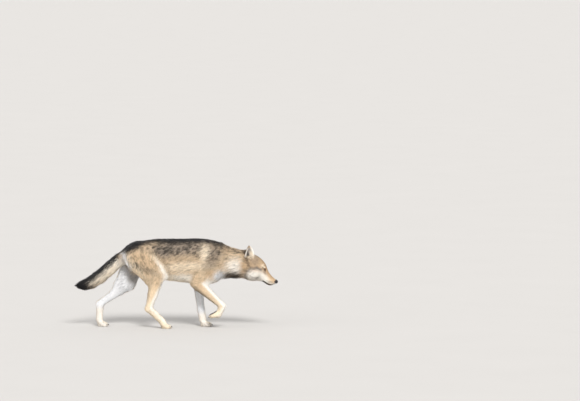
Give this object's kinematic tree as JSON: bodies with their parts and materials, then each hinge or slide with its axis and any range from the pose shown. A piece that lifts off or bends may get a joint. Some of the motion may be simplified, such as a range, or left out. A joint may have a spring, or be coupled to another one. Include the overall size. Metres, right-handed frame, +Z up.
{
  "type": "wolf",
  "caption": "Grey wolf at life size, walking with its head and tail held low and a forepaw lifted, in a full autumn coat.",
  "frame": {"origin": "middle of the animal's bounding box in X and Y, on the floor that its paws stand on", "axes": "+X from tail to nose, +Y to the animal's left, +Z up"},
  "size_m": [1.6266, 0.2594, 0.7179],
  "materials": {
    "coat": "dense fur: black-tipped grey saddle, buff flanks and cream legs, belly and cheeks, matt with a faint sheen",
    "nose": "black, finely pebbled and slightly moist",
    "eye": "amber iris and round pupil under a clear wet cornea",
    "claw": "dark horn, worn paler and smoother at the tip"
  },
  "bodies": {
    "root": {"trunk": "coat", "neck": "coat", "head": "coat", "lower_jaw": "coat", "ear_left": "coat", "ear_right": "coat", "tail_root": "coat", "tail_brush": "coat", "fore_left_upper": "coat", "fore_left_lower": "coat", "paw_fore_left": "coat", "hind_left_thigh": "coat", "hind_left_shank": "coat", "hind_left_metatarsus": "coat", "paw_hind_left": "coat", "fore_right_upper": "coat", "fore_right_lower": "coat", "paw_fore_right": "coat", "hind_right_thigh": "coat", "hind_right_shank": "coat", "hind_right_metatarsus": "coat", "paw_hind_right": "coat", "nose": "nose", "eye_left": "eye", "eye_right": "eye", "claw_fore_left_1": "claw", "claw_fore_left_2": "claw", "claw_fore_left_3": "claw", "claw_fore_left_4": "claw", "claw_fore_right_1": "claw", "claw_fore_right_2": "claw", "claw_fore_right_3": "claw", "claw_fore_right_4": "claw", "claw_hind_left_1": "claw", "claw_hind_left_2": "claw", "claw_hind_left_3": "claw", "claw_hind_left_4": "claw", "claw_hind_right_1": "claw", "claw_hind_right_2": "claw", "claw_hind_right_3": "claw", "claw_hind_right_4": "claw"}
  },
  "joints": []
}
